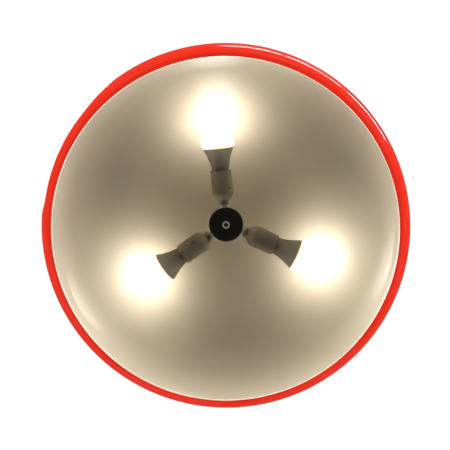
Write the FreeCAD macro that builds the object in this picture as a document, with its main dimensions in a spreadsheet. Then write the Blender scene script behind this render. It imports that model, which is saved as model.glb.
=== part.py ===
import FreeCAD, Part
import math
import os
import Sketcher

# Dome pendant lamp with three bulbs on a central hub. Millimetres, +Z up. The origin is the centre
# of the rim's plane, so the dome stands on its rim at Z = 0. The three arms lie at 90, 210 and 330
# degrees, and each arm's pieces are drawn along Z and then laid along the arm.

Vector = FreeCAD.Vector
doc = FreeCAD.newDocument("DomePendant")

# ---------------------------------------------------------------- the sheet of driving dimensions
SIZES = {
    # dome
    "shade_radius": 350.0,
    "rim_radius": 325.6,
    "equator_height": 35.0,
    "dome_rise": 190.0,
    "shoulder_radius": 110.0,
    "shade_wall": 3.0,
    "seat_radius": 33.0,
    # threaded pipe and what is strung on it
    "pipe_radius": 5.0,
    "pipe_bore_radius": 4.0,
    "pipe_clearance": 0.3,
    "pipe_below_nut": 1.2,
    "spacer_radius": 8.0,
    "nut_across_flats": 14.0,
    "nut_height": 4.0,
    "inner_washer_radius": 15.0,
    "inner_washer_thickness": 2.0,
    "gasket_radius": 28.0,
    "gasket_thickness": 1.5,
    "outer_washer_radius": 26.0,
    "outer_washer_thickness": 2.0,
    # cover cup and cord gland on top
    "cup_radius": 32.0,
    "cup_top_radius": 12.0,
    "cup_height": 38.0,
    "cup_wall": 1.5,
    "gland_radius": 9.0,
    "gland_height": 16.0,
    "gland_cap_height": 13.0,
    "cord_bore_radius": 3.6,
    # hub
    "hub_face_height": 100.0,
    "hub_radius": 34.3,
    "hub_height": 26.0,
    "hub_wall": 2.5,
    "hub_top": 3.0,
    "cover_radius": 32.9,
    "cover_thickness": 2.8,
    "bezel_clearance": 0.3,
    "boss_radius": 8.0,
    "boss_inside": 6.5,
    "boss_outside": 1.5,
    # arm
    "arm_nut_height": 3.0,
    "holder_gap": 0.8,
    "neck_radius": 9.5,
    "neck_length": 10.7,
    "holder_taper": 1.0,
    "skirt_wall": 2.4,
    "cap_length": 27.7,
    "holder_length": 66.7,
    "holder_wall": 2.0,
    "grub_radius": 2.0,
    "grub_proud": 1.2,
    # contacts
    "flange_width": 3.2,
    "spigot_wall": 1.7,
    "fit_gap": 0.2,
    "insert_length": 10.0,
    "strip_thickness": 0.5,
    "strip_width": 5.0,
    "strip_margin": 3.7,
    "terminal_radius": 1.5,
    "terminal_head_radius": 2.6,
    "terminal_head_height": 1.4,
    "shell_bore": 13.5,
    "shell_wall": 0.5,
    "lead_radius": 1.05,
    "connector_radius": 4.0,
    "connector_length": 12.0,
    # bulb
    "thread_pitch": 3.629,
    "thread_gap": 1.3,
    "thread_depth": 0.95,
    "bulb_cap_length": 21.2,
    "tip_radius": 4.6,
    "tip_height": 1.6,
    "insulator_height": 4.0,
    "neck_gap": 2.0,
    "housing_radius": 30.4,
    "housing_length": 52.0,
    "housing_flare": 130.0,
    "housing_wall": 1.6,
    "globe_swell": 1.2,
    "globe_wall": 1.2,
}

sheet = doc.addObject("Spreadsheet::Sheet", "Sizes")
for row, (alias, number) in enumerate(SIZES.items(), start=1):
    sheet.set("A%d" % row, alias)
    sheet.set("B%d" % row, str(number))
    sheet.setAlias("B%d" % row, alias)
doc.recompute()


class Size:
    """A length that carries its number and the sheet expression which gives that number."""

    def __init__(self, value, text):
        self.value = value
        self.text = text

    def __add__(self, other):
        other = size(other)
        return Size(self.value + other.value, "(%s + %s)" % (self.text, other.text))

    def __sub__(self, other):
        other = size(other)
        return Size(self.value - other.value, "(%s - %s)" % (self.text, other.text))

    def __rsub__(self, other):
        return size(other) - self

    def __mul__(self, other):
        other = size(other)
        return Size(self.value * other.value, "(%s * %s)" % (self.text, other.text))

    def __truediv__(self, other):
        other = size(other)
        return Size(self.value / other.value, "(%s / %s)" % (self.text, other.text))

    __radd__ = __add__
    __rmul__ = __mul__


def size(item):
    """The sheet's size of that name, or a plain number, as a Size."""
    if isinstance(item, Size):
        return item
    if isinstance(item, str):
        return Size(sheet.get(item), "Sizes." + item)
    return Size(float(item), repr(float(item)))


def root(item):
    return Size(math.sqrt(item.value), "sqrt(%s)" % item.text)


# ---------------------------------------------------------------- sketches and features
ZERO = size(0)


def on_plane(body, name, role):
    """A new sketch on one of its own body's origin planes."""
    sketch = body.newObject("Sketcher::SketchObject", name)
    plane = [item for item in body.Origin.OriginFeatures if item.Role == role][0]
    sketch.AttachmentSupport = [(plane, "")]
    sketch.MapMode = "FlatFace"
    return sketch


def fix_point(sketch, edge, end, x, y):
    """Tie one end of an edge to the sheet, or to an axis where the value is nought."""
    for kind, axis, item in (("DistanceX", -2, x), ("DistanceY", -1, y)):
        if abs(item.value) < 1e-9:
            sketch.addConstraint(Sketcher.Constraint("PointOnObject", edge, end, axis))
        else:
            index = sketch.addConstraint(Sketcher.Constraint(kind, -1, 1, edge, end, item.value))
            sketch.setExpression("Constraints[%d]" % index, item.text)


def draw_outline(sketch, corners):
    """A closed outline. A corner is (x, y), or (x, y, radius, side) where an arc leads to it:
    side is 1 if the arc's centre lies to the left of the way along it, and -1 if to the right."""
    corners = [tuple(size(item) if n < 3 else item for n, item in enumerate(c)) for c in corners]
    first_edge = sketch.GeometryCount
    ends = []
    for number, corner in enumerate(corners):
        before = corners[number - 1]
        start = Vector(before[0].value, before[1].value, 0)
        finish = Vector(corner[0].value, corner[1].value, 0)
        if len(corner) == 2:
            sketch.addGeometry(Part.LineSegment(start, finish))
            ends.append((1, 2))
            continue
        radius = corner[2].value
        half = (finish - start) * 0.5
        reach = math.sqrt(max(radius ** 2 - half.Length ** 2, 0.0))
        left = Vector(-half.y, half.x, 0).normalize()
        centre = start + half + left * (reach * corner[3])
        angles = [math.atan2(p.y - centre.y, p.x - centre.x) for p in (start, finish)]
        circle = Part.Circle(centre, Vector(0, 0, 1), radius)
        if corner[3] > 0:
            sketch.addGeometry(Part.ArcOfCircle(circle, angles[0], angles[1]))
            ends.append((1, 2))
        else:
            sketch.addGeometry(Part.ArcOfCircle(circle, angles[1], angles[0]))
            ends.append((2, 1))
    count = len(corners)
    for number, corner in enumerate(corners):
        edge = first_edge + number
        following = (number + 1) % count
        join = (edge, ends[number][1], first_edge + following, ends[following][0])
        sketch.addConstraint(Sketcher.Constraint("Coincident", *join))
        if len(corner) == 4:
            index = sketch.addConstraint(Sketcher.Constraint("Radius", edge, corner[2].value))
            sketch.setExpression("Constraints[%d]" % index, corner[2].text)
    for number, corner in enumerate(corners):
        fix_point(sketch, first_edge + number, ends[number][1], corner[0], corner[1])


def turned(label, corners):
    """A body turned about Z from a closed outline of (radius, height) corners."""
    body = doc.addObject("PartDesign::Body", label)
    body.Label = label
    sketch = on_plane(body, label + "_outline", "XZ_Plane")
    draw_outline(sketch, corners)
    turn = body.newObject("PartDesign::Revolution", label + "_turn")
    turn.Profile = (sketch, [""])
    turn.ReferenceAxis = (sketch, ["V_Axis"])
    turn.Angle = 360
    return body


def strip(label, corners, width):
    """A flat strip bent to an outline in its XZ plane, with its width across that plane."""
    body = doc.addObject("PartDesign::Body", label)
    body.Label = label
    sketch = on_plane(body, label + "_outline", "XZ_Plane")
    draw_outline(sketch, corners)
    pad = body.newObject("PartDesign::Pad", label + "_width")
    pad.Profile = (sketch, [""])
    pad.Midplane = True
    pad.setExpression("Length", size(width).text)
    return body


def add_thread(body, corners, turns):
    """A right-hand thread ridge along Z, from its section at the bottom."""
    sketch = on_plane(body, body.Label + "_ridge", "XZ_Plane")
    draw_outline(sketch, corners)
    helix = body.newObject("PartDesign::AdditiveHelix", body.Label + "_thread")
    helix.Profile = (sketch, [""])
    helix.ReferenceAxis = (sketch, ["V_Axis"])
    helix.Mode = 0
    helix.setExpression("Pitch", size("thread_pitch").text)
    helix.setExpression("Height", (size("thread_pitch") * turns).text)
    helix.LeftHanded = False
    body.Tip = helix


def hexagon_nut(label, bottom, thickness, bore):
    """A chamfered hexagon nut, turned first and then cut to its flats."""
    flat = size("nut_across_flats") / 2
    corner = flat * (2 / math.sqrt(3))
    bevel = (corner - flat) * 0.6
    top = bottom + thickness
    body = turned(label, [
        (bore, bottom), (flat, bottom), (corner, bottom + bevel),
        (corner, top - bevel), (flat, top), (bore, top),
    ])
    sketch = on_plane(body, label + "_flats", "XY_Plane")
    outside = corner * 1.5
    square = [(outside, outside), (ZERO - outside, outside)]
    square += [(ZERO - outside, ZERO - outside), (outside, ZERO - outside)]
    draw_outline(sketch, square)
    points = []
    for step in range(6):
        turn = math.radians(60 * step + 30)
        points.append((corner * round(math.cos(turn), 9), corner * round(math.sin(turn), 9)))
    draw_outline(sketch, points)
    cut = body.newObject("PartDesign::Pocket", label + "_hexagon")
    cut.Profile = (sketch, [""])
    cut.Type = "ThroughAll"
    cut.Midplane = True
    body.Tip = cut
    return body


def cylinder(name, radius, length, placement):
    """A plain cylinder used as a boss or as a drill."""
    item = doc.addObject("Part::Cylinder", name)
    item.setExpression("Radius", size(radius).text)
    item.setExpression("Height", size(length).text)
    item.Placement = placement
    return item


def block(name, dimensions, corner):
    """A plain box from its three dimensions and its lowest corner."""
    item = doc.addObject("Part::Box", name)
    for prop, length in zip(("Length", "Width", "Height"), dimensions):
        item.setExpression(prop, size(length).text)
    item.Placement = FreeCAD.Placement(Vector(*[size(c).value for c in corner]), NO_TURN)
    return item


def joined(label, pieces):
    item = doc.addObject("Part::MultiFuse", label)
    item.Label = label
    item.Shapes = pieces
    return item


def cut_away(label, base, tools):
    """base less the tools; the tools are first joined where there are several."""
    item = doc.addObject("Part::Cut", label)
    item.Label = label
    item.Base = base
    item.Tool = tools[0] if len(tools) == 1 else joined(label + "_tools", tools)
    return item


def grouped(label, pieces):
    """Like pieces that share one node, each still a solid of its own."""
    item = doc.addObject("Part::Compound", label)
    item.Label = label
    item.Links = pieces
    return item


NO_TURN = FreeCAD.Rotation()
ARM_ANGLES = (90, 210, 330)
# How far each holder has come round on its thread when it is tight, seen in its latch and screw.
HOLDER_ROLLS = (34, 60, 22)

# ---------------------------------------------------------------- heights along the main axis
half_chord = size("shade_radius") - "rim_radius"
lip_radius = (half_chord * half_chord + size("equator_height") * "equator_height") / (half_chord * 2)
shoulder_run = size("shade_radius") - "shoulder_radius"
crown_radius = (shoulder_run * shoulder_run + size("dome_rise") * "dome_rise"
                - size("shoulder_radius") * "shoulder_radius") \
    / ((size("dome_rise") - "shoulder_radius") * 2)
crown_height = size("equator_height") + "dome_rise" - crown_radius
seat_height = crown_height + root(crown_radius * crown_radius
                                  - size("seat_radius") * "seat_radius")

hole_radius = size("pipe_radius") + "pipe_clearance"
hub_bottom = size("hub_face_height") + "cover_thickness"
hub_crown = hub_bottom + "hub_height"
arm_height = hub_bottom + (size("hub_height") - "hub_top") / 2
inner_washer_bottom = seat_height - "shade_wall" - "inner_washer_thickness"
gasket_top = seat_height + "gasket_thickness"
outer_washer_top = gasket_top + "outer_washer_thickness"
cup_top = seat_height + "cup_height"
gland_top = cup_top + "gland_height"
pipe_bottom = size("hub_face_height") - "nut_height" - "pipe_below_nut"
pipe_top = cup_top + size("gland_height") * 0.6


# ---------------------------------------------------------------- dome
def shade_corners():
    """Crown, shoulder and lip as tangent arcs, outside and inside, with a flat seat on top."""
    wall = size("shade_wall")
    lip_centre = size("shade_radius") - lip_radius
    rim_x = (size("rim_radius") - lip_centre) / lip_radius
    rim_y = size("equator_height") / lip_radius
    inner_lip = lip_radius - wall
    shoulder_out = shoulder_run / (crown_radius - "shoulder_radius")
    shoulder_up = (size("equator_height") - crown_height) / (crown_radius - "shoulder_radius")
    inner_crown = crown_radius - wall
    inner_seat = root(inner_crown * inner_crown
                      - (seat_height - wall - crown_height) * (seat_height - wall - crown_height))
    return [
        ("rim_radius", ZERO),
        ("shade_radius", "equator_height", lip_radius, 1),
        (crown_radius * shoulder_out, crown_height + crown_radius * shoulder_up,
         "shoulder_radius", 1),
        ("seat_radius", seat_height, crown_radius, 1),
        (hole_radius, seat_height),
        (hole_radius, seat_height - wall),
        (inner_seat, seat_height - wall),
        (inner_crown * shoulder_out, crown_height + inner_crown * shoulder_up, inner_crown, -1),
        (size("shade_radius") - wall, "equator_height", size("shoulder_radius") - wall, -1),
        (lip_centre + inner_lip * rim_x, size("equator_height") - inner_lip * rim_y,
         inner_lip, -1),
    ]


turned("shade", shade_corners())


# ---------------------------------------------------------------- pipe, spacer, washers and nuts
def ring_corners(inner, outer, bottom, top):
    return [(inner, bottom), (outer, bottom), (outer, top), (inner, top)]


pipe = turned("threaded_pipe", ring_corners("pipe_bore_radius", "pipe_radius", pipe_bottom, pipe_top))
window_sketch = on_plane(pipe, "lead_window_outline", "XZ_Plane")
window_half = size("lead_radius") * 2
draw_outline(window_sketch, [
    (ZERO - window_half, arm_height - "boss_radius"), (window_half, arm_height - "boss_radius"),
    (window_half, arm_height), (ZERO - window_half, arm_height),
])
window = pipe.newObject("PartDesign::Pocket", "lead_window")
window.Profile = (window_sketch, [""])
window.Type = "ThroughAll"
window.Midplane = True
pipe.Tip = window

turned("pipe_spacer", ring_corners(hole_radius, "spacer_radius", hub_crown, inner_washer_bottom))
turned("inner_washer", ring_corners(
    hole_radius, "inner_washer_radius", inner_washer_bottom, seat_height - "shade_wall"))
turned("shade_gasket", ring_corners(hole_radius, "gasket_radius", seat_height, gasket_top))
turned("outer_washer", ring_corners(
    hole_radius, "outer_washer_radius", gasket_top, outer_washer_top))
hexagon_nut("shade_nut", outer_washer_top, size("nut_height"), size("pipe_radius"))
hexagon_nut("hub_clamp_nut", hub_crown - "hub_top" - "nut_height", size("nut_height"),
            size("pipe_radius"))

# ---------------------------------------------------------------- cover cup and cord gland
cup_wall = size("cup_wall")
cup_collar = seat_height + 4
turned("cover_cup", [
    (size("cup_radius") - cup_wall, seat_height),
    ("cup_radius", seat_height),
    ("cup_radius", cup_collar),
    ("cup_top_radius", cup_top),
    (hole_radius, cup_top),
    (hole_radius, cup_top - cup_wall),
    (size("cup_top_radius") - cup_wall * 0.6, cup_top - cup_wall),
    (size("cup_radius") - cup_wall, cup_collar - cup_wall * 0.6),
])
turned("gland_body", [
    ("pipe_radius", cup_top),
    ("gland_radius", cup_top),
    ("gland_radius", gland_top - 4),
    (size("gland_radius") - 2, gland_top - 4),
    (size("gland_radius") - 2, gland_top),
    ("pipe_radius", gland_top),
])
turned("cord_collet", ring_corners("cord_bore_radius", "pipe_radius", pipe_top, gland_top))
turned("gland_cap", [
    (size("gland_radius") - 2, gland_top - 4),
    ("gland_radius", gland_top - 4),
    ("gland_radius", gland_top),
    (size("cord_bore_radius") + 2, gland_top + "gland_cap_height" - 4,
     size("gland_cap_height") * 1.5, 1),
    ("cord_bore_radius", gland_top + "gland_cap_height" - 4),
    ("cord_bore_radius", gland_top),
    (size("gland_radius") - 2, gland_top),
])


# ---------------------------------------------------------------- placing pieces on the arms
def arm_placement(angle, roll=0, along=0.0, aside=0.0):
    """Lays a piece's own Z along the arm, and turns it about the arm by roll."""
    lay = FreeCAD.Rotation(Vector(0, 0, 1), angle) * FreeCAD.Rotation(Vector(0, 1, 0), 90)
    spin = FreeCAD.Rotation(Vector(0, 0, 1), roll)
    offset = (lay * spin).multVec(Vector(aside, 0, along))
    return FreeCAD.Placement(Vector(0, 0, arm_height.value) + offset, lay * spin)


def put_on_arm(item, angle, roll=0):
    item.Placement = arm_placement(angle, roll)
    item.setExpression("Placement.Base.z", arm_height.text)
    return item


def arm_cylinder(name, radius, start, length, angle):
    """A cylinder along an arm, from start outwards."""
    item = cylinder(name, radius, length, arm_placement(angle, along=start.value))
    return item


# ---------------------------------------------------------------- hub
hub_inner = size("hub_radius") - "hub_wall"
boss_end = size("hub_radius") + "boss_outside"
boss_start = hub_inner - "boss_inside"
boss_length = boss_end - boss_start
hub_cup = turned("hub_cup", [
    (hub_inner, hub_bottom),
    ("hub_radius", hub_bottom),
    ("hub_radius", hub_crown - 4),
    (size("hub_radius") - 4, hub_crown, 4, 1),
    (hole_radius, hub_crown),
    (hole_radius, hub_crown - "hub_top"),
    (hub_inner - 1, hub_crown - "hub_top"),
    (hub_inner, hub_crown - size("hub_top") - 1),
])
bosses = []
bores = []
for angle in ARM_ANGLES:
    bosses.append(arm_cylinder("boss_%d" % angle, "boss_radius", boss_start, boss_length, angle))
    bores.append(arm_cylinder("bore_%d" % angle, "pipe_radius", boss_start, boss_length, angle))
cut_away("hub_body", joined("hub_casting", [hub_cup] + bosses), bores)

cover_top = size("hub_face_height") + "cover_thickness"
turned("hub_cover", [
    (hole_radius, "hub_face_height"),
    (size("cover_radius") - 0.5, "hub_face_height"),
    ("cover_radius", size("hub_face_height") + 0.5),
    ("cover_radius", cover_top),
    (hole_radius, cover_top),
])
bezel_inner = size("cover_radius")
bezel_outer = size("hub_radius") + "bezel_clearance"
turned("hub_bezel", [
    (bezel_inner, size("hub_face_height") + 0.6),
    (bezel_outer - 0.4, size("hub_face_height") + 0.6),
    (bezel_outer, size("hub_face_height") + 1.0),
    (bezel_outer, cover_top),
    (bezel_inner, cover_top),
])
nut_running_bore = size("pipe_radius") + 0.05
hexagon_nut("hub_nut", size("hub_face_height") - "nut_height", size("nut_height"),
            nut_running_bore)

# ---------------------------------------------------------------- radii and places along each arm
insert_radius = size("shell_bore") + "flange_width"
spigot_inner = insert_radius + "fit_gap"
spigot_outer = spigot_inner + "spigot_wall"
skirt_inner = spigot_outer + "fit_gap"
holder_radius = skirt_inner + "skirt_wall"
holder_mouth_radius = holder_radius - "holder_taper"
mouth_bore = holder_mouth_radius - "holder_wall"
neck_end_radius = mouth_bore - "neck_gap"
strip_reach = insert_radius - "strip_margin"
terminal_offset = strip_reach - 5
slot_x = terminal_offset - 2
cap_radius = size("shell_bore") - "thread_gap"
globe_radius = size("housing_radius") + "globe_swell"

arm_nut_end = boss_end + "arm_nut_height"
holder_start = arm_nut_end + "holder_gap"
neck_end = holder_start + "neck_length"
cap_end = holder_start + "cap_length"
mouth = holder_start + "holder_length"
insert_end = cap_end + 2
insert_start = insert_end - "insert_length"
strip_back = insert_start - size("strip_thickness") - 0.1
shell_start = insert_end
flange_top = shell_start + 0.8
tip_start = insert_end + 3
tip_end = tip_start + "tip_height"
cap_metal_start = tip_end + "insulator_height" - 1
cap_metal_end = cap_metal_start + "bulb_cap_length"
housing_start = cap_metal_end
housing_end = housing_start + "housing_length"
shell_end = housing_start - 0.8

arm_pipes = []
arm_nuts = []
grub_screws = []
terminal_screws = []
side_contacts = []
for number, (angle, roll) in enumerate(zip(ARM_ANGLES, HOLDER_ROLLS), start=1):
    tag = "_%d" % number

    # threaded nipple between hub and holder, and its lock nut
    nipple = turned("nipple" + tag, ring_corners(
        "pipe_bore_radius", "pipe_radius", boss_start + 0.5, neck_end))
    arm_pipes.append(put_on_arm(nipple, angle))
    lock = hexagon_nut("arm_nut" + tag, boss_end, size("arm_nut_height"), size("pipe_radius"))
    arm_nuts.append(put_on_arm(lock, angle))

    # rear cap of the holder, with a grub screw in its neck
    grub_height = holder_start + 4
    cap = turned("cap_turned" + tag, [
        ("pipe_radius", holder_start),
        (size("neck_radius") - 1, holder_start),
        ("neck_radius", holder_start + 1, 1, 1),
        ("neck_radius", holder_start + 6),
        (holder_radius, cap_end - 6, 24, 1),
        (holder_radius, cap_end),
        (spigot_outer, cap_end),
        (spigot_outer, flange_top),
        (spigot_inner, flange_top),
        (spigot_inner, insert_start),
        (strip_reach + 1, insert_start),
        (strip_reach + 1, insert_start - 4.5),
        (size("neck_radius") + 0.5, neck_end),
        ("pipe_radius", neck_end),
    ])
    screw_lay = FreeCAD.Placement(Vector(0, 0, grub_height.value),
                                  FreeCAD.Rotation(Vector(0, 1, 0), 90))
    grub_length = size("neck_radius") - "pipe_radius" + "grub_proud"
    drill = cylinder("grub_drill" + tag, "grub_radius", grub_length + size("pipe_radius"),
                     screw_lay)
    cap_piece = cut_away("holder_cap" + tag, cap, [drill])
    put_on_arm(cap_piece, angle, roll)
    grub = turned("grub" + tag, [
        (ZERO, "pipe_radius"),
        (size("grub_radius") - 0.5, "pipe_radius"),
        ("grub_radius", size("pipe_radius") + 0.5),
        ("grub_radius", size("pipe_radius") + grub_length),
        (0.7, size("pipe_radius") + grub_length),
        (0.7, size("pipe_radius") + grub_length - 1.2),
        (ZERO, size("pipe_radius") + grub_length - 1.2),
    ])
    grub.Placement = arm_placement(angle, roll).multiply(screw_lay)
    grub_screws.append(grub)

    # front skirt of the holder, with the small L-shaped latch recess
    skirt = turned("skirt_turned" + tag, [
        (skirt_inner, cap_end),
        (holder_radius, cap_end),
        (holder_mouth_radius, mouth - 1),
        (holder_mouth_radius - 1, mouth, 1, 1),
        (mouth_bore, mouth),
        (mouth_bore, flange_top + 2.2),
        (size("shell_bore") + 1.4, flange_top + 2.2),
        (size("shell_bore") + 1.4, flange_top),
        (skirt_inner, flange_top),
    ])
    latch_depth = 1.0
    latch_x = holder_radius - 0.2 - latch_depth
    latch_bars = [
        block("latch_long" + tag, (3, 1.4, 7.5), (latch_x, -0.7, cap_end + 4)),
        block("latch_short" + tag, (3, 7.0, 1.4), (latch_x, -0.7, cap_end + 4)),
    ]
    skirt_piece = cut_away("holder_skirt" + tag, skirt, latch_bars)
    put_on_arm(skirt_piece, angle, roll)

    # screw shell: thin metal sleeve with an inside thread and a flange on the insert
    shell_wall = size("shell_wall")
    shell = turned("screw_shell" + tag, [
        (slot_x + 1, shell_start),
        (insert_radius, shell_start),
        (insert_radius, flange_top),
        (size("shell_bore") + shell_wall, flange_top),
        (size("shell_bore") + shell_wall, shell_end),
        ("shell_bore", shell_end),
        ("shell_bore", flange_top),
        (slot_x + 1, flange_top),
    ])
    ridge_mid = flange_top + 6
    shell_ridge = size("shell_bore") - 0.9
    add_thread(shell, [
        (size("shell_bore") + 0.1, ridge_mid - 0.75),
        (size("shell_bore") + 0.1, ridge_mid + 0.75),
        (shell_ridge, ridge_mid + 0.25),
        (shell_ridge, ridge_mid - 0.25),
    ], 4)
    put_on_arm(shell, angle, roll)

    # contact strips: the centre one springs against the bulb's tip, the side one feeds the shell
    thin = size("strip_thickness")
    centre = strip("centre_strip" + tag, [
        (ZERO - strip_reach, strip_back),
        (ZERO - slot_x + thin, strip_back),
        (ZERO - slot_x + thin, insert_end + 0.5),
        (0.8, tip_start - thin),
        (4, tip_start - thin),
        (4, tip_start),
        (0.6, tip_start),
        (ZERO - slot_x, insert_end + 0.9),
        (ZERO - slot_x, strip_back + thin),
        (ZERO - strip_reach, strip_back + thin),
    ], "strip_width")
    side_x = strip_reach - 0.3
    side = strip("side_strip" + tag, [
        (terminal_offset - 3, strip_back),
        (side_x + thin, strip_back),
        (side_x + thin, shell_start),
        (side_x, shell_start),
        (side_x, strip_back + thin),
        (terminal_offset - 3, strip_back + thin),
    ], "strip_width")
    holes = []
    for hole_number, side_sign in enumerate((-1, 1)):
        place = FreeCAD.Placement(
            Vector(side_sign * terminal_offset.value, 0, strip_back.value - 1), NO_TURN)
        name = "strip_hole_%d%s" % (hole_number, tag)
        holes.append(cylinder(name, size("terminal_radius"), 3, place))
    put_on_arm(cut_away("centre_contact" + tag, centre, holes[:1]), angle, roll)
    side_contacts.append(
        put_on_arm(cut_away("side_contact" + tag, side, holes[1:]), angle, roll))

    # insulating insert with its two slots and two screw holes
    disc = turned("insert_turned" + tag, [
        (ZERO, insert_start), (insert_radius, insert_start),
        (insert_radius, insert_end), (ZERO, insert_end)])
    half_width = size("strip_width") / 2
    openings = []
    for name, x in (("centre_slot", ZERO - slot_x), ("side_slot", side_x)):
        openings.append(block(name + tag, (thin, "strip_width", size("insert_length") + 2),
                              (x, ZERO - half_width, insert_start - 1)))
    for side_sign in (-1, 1):
        place = FreeCAD.Placement(
            Vector(side_sign * terminal_offset.value, 0, insert_start.value - 1), NO_TURN)
        openings.append(cylinder("insert_hole_%d%s" % (side_sign + 1, tag), "terminal_radius",
                                 7, place))
    put_on_arm(cut_away("contact_insert" + tag, disc, openings), angle, roll)

    # terminal screws that clamp a lead and a strip each
    for side_sign in (-1, 1):
        screw = turned("terminal_screw_%d%s" % (side_sign + 1, tag), [
            (ZERO, strip_back - "terminal_head_height"),
            ("terminal_head_radius", strip_back - "terminal_head_height"),
            ("terminal_head_radius", strip_back),
            ("terminal_radius", strip_back),
            ("terminal_radius", insert_start + 5.5),
            (ZERO, insert_start + 5.5),
        ])
        screw.Placement = arm_placement(angle, roll, aside=side_sign * terminal_offset.value)
        terminal_screws.append(screw)

    # bulb: tip, insulator, threaded cap, housing, board, driver and globe
    put_on_arm(turned("bulb_tip" + tag, [
        (ZERO, tip_start),
        (size("tip_radius") - 1.2, tip_start),
        ("tip_radius", tip_start + 1.0, 1.4, 1),
        ("tip_radius", tip_end),
        (ZERO, tip_end),
    ]), angle)
    cap_inner = cap_radius - 1
    put_on_arm(turned("bulb_insulator" + tag, [
        (ZERO, tip_end),
        (size("tip_radius") + 1, tip_end),
        (cap_inner, cap_metal_start),
        (cap_inner, cap_metal_start + 1),
        (ZERO, cap_metal_start + 1),
    ]), angle)
    bulb_cap = turned("bulb_cap" + tag, [
        (cap_inner, cap_metal_start),
        (cap_radius - 0.4, cap_metal_start),
        (cap_radius, cap_metal_start + 1),
        (cap_radius, cap_metal_end),
        (cap_inner, cap_metal_end),
    ])
    # The cap's ridge sits half a pitch from the shell's, in the middle of its groove.
    pitches_up = round((cap_metal_start.value + 3 - ridge_mid.value) / size("thread_pitch").value - 0.5)
    cap_ridge = ridge_mid + size("thread_pitch") * (pitches_up + 0.5)
    crest = cap_radius + "thread_depth"
    add_thread(bulb_cap, [
        (cap_radius - 0.1, cap_ridge - 0.9),
        (crest, cap_ridge - 0.3),
        (crest, cap_ridge + 0.3),
        (cap_radius - 0.1, cap_ridge + 0.9),
    ], 4)
    put_on_arm(bulb_cap, angle)

    flare = size("housing_flare")
    wall = size("housing_wall")
    ledge = housing_end - 3
    ledge_radius = size("housing_radius") - wall - 2
    put_on_arm(turned("bulb_housing" + tag, [
        (cap_inner - 1, housing_start - 4),
        (cap_inner, housing_start - 4),
        (cap_inner, housing_start),
        (neck_end_radius - 2, housing_start),
        (neck_end_radius - 0.6, housing_start + 1.4, 1.4, 1),
        ("housing_radius", housing_end, flare, -1),
        (size("housing_radius") - wall, housing_end),
        (size("housing_radius") - wall, ledge),
        (ledge_radius, ledge),
        (neck_end_radius - wall - 0.6, housing_start + 3, flare, 1),
        (cap_inner - 1, housing_start + 1.4),
    ]), angle)
    board_radius = size("housing_radius") - wall
    board = turned("board_turned" + tag, [
        (2, ledge), (board_radius, ledge), (board_radius, ledge + 1.6), (2, ledge + 1.6)])
    chips = []
    for chip_number in range(10):
        turn = FreeCAD.Rotation(Vector(0, 0, 1), 36 * chip_number)
        chip = block("chip_%d%s" % (chip_number, tag), (2.8, 3.5, 0.8), (0, 0, 0))
        chip.Placement = FreeCAD.Placement(
            turn.multVec(Vector(15, -1.75, ledge.value + 1.6)), turn)
        chips.append(chip)
    put_on_arm(joined("led_board" + tag, [board] + chips), angle)

    driver_start = housing_start + 4
    plate = block("driver_plate" + tag, (22, 1.6, 28), (-11, -0.8, driver_start))
    can_place = FreeCAD.Placement(Vector(0, 4.6, driver_start.value + 8), NO_TURN)
    can = cylinder("driver_can" + tag, 4.0, 14, can_place)
    coil = block("driver_coil" + tag, (9, 6, 8), (-4.5, -6.8, driver_start + 12))
    put_on_arm(joined("driver_board" + tag, [plate, can, coil]), angle)

    reach = globe_radius
    joint_radius = size("housing_radius") - 0.7
    rise = root(reach * reach - joint_radius * joint_radius)
    inner = reach - "globe_wall"
    inner_joint = joint_radius - "globe_wall"
    centre_height = housing_end + rise
    put_on_arm(turned("bulb_globe" + tag, [
        (joint_radius, housing_end),
        (reach, centre_height, reach, 1),
        (ZERO, centre_height + reach, reach, 1),
        (ZERO, centre_height + inner),
        (inner, centre_height, inner, -1),
        (inner_joint, housing_end, inner, -1),
    ]), angle)

grouped("arm_nipples", arm_pipes)
grouped("arm_lock_nuts", arm_nuts)
grouped("holder_grub_screws", grub_screws)
grouped("contact_screws", terminal_screws)
grouped("side_contacts", side_contacts)

# ---------------------------------------------------------------- leads inside the hub and arms
connector_bottom = hub_bottom.value + 1.0
connector_mouth = connector_bottom + SIZES["connector_length"]
connector_spots = []
for angle in (270, 30):
    spot = FreeCAD.Rotation(Vector(0, 0, 1), angle).multVec(Vector(18, 0, 0))
    connector_spots.append(spot)

connectors = []
for number, spot in enumerate(connector_spots, start=1):
    connector = turned("connector_%d" % number, [
        (ZERO, ZERO),
        (size("connector_radius") - 1.2, ZERO),
        ("connector_radius", 1.2, 1.2, 1),
        ("connector_radius", size("connector_length") * 0.7),
        (size("connector_radius") + 0.4, "connector_length"),
        (ZERO, "connector_length"),
    ])
    connector.Placement = FreeCAD.Placement(spot + Vector(0, 0, connector_bottom), NO_TURN)
    connectors.append(connector)
grouped("lead_connectors", connectors)


def rounded_path(points):
    """Straight runs joined by tangent arcs, each as large as its two runs allow."""
    edges = []
    last = points[0]
    for before, corner, after in zip(points, points[1:], points[2:]):
        back = before - corner
        on = after - corner
        half_turn = (math.pi - back.getAngle(on)) / 2
        reach = 0.45 * min(back.Length, on.Length)
        radius = reach / math.tan(half_turn)
        into = corner + Vector(back).normalize() * reach
        out = corner + Vector(on).normalize() * reach
        bisector = (Vector(back).normalize() + Vector(on).normalize()).normalize()
        middle = corner + bisector * (radius / math.cos(half_turn) - radius)
        edges.append(Part.LineSegment(last, into).toShape())
        edges.append(Part.Arc(into, middle, out).toShape())
        last = out
    edges.append(Part.LineSegment(last, points[-1]).toShape())
    return Part.Wire(edges)


def lead_solid(points):
    path = rounded_path(points)
    start = points[0]
    section = Part.Wire([Part.Circle(start, points[1] - start, SIZES["lead_radius"]).toShape()])
    return path.makePipeShell([section], True, False)


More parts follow.
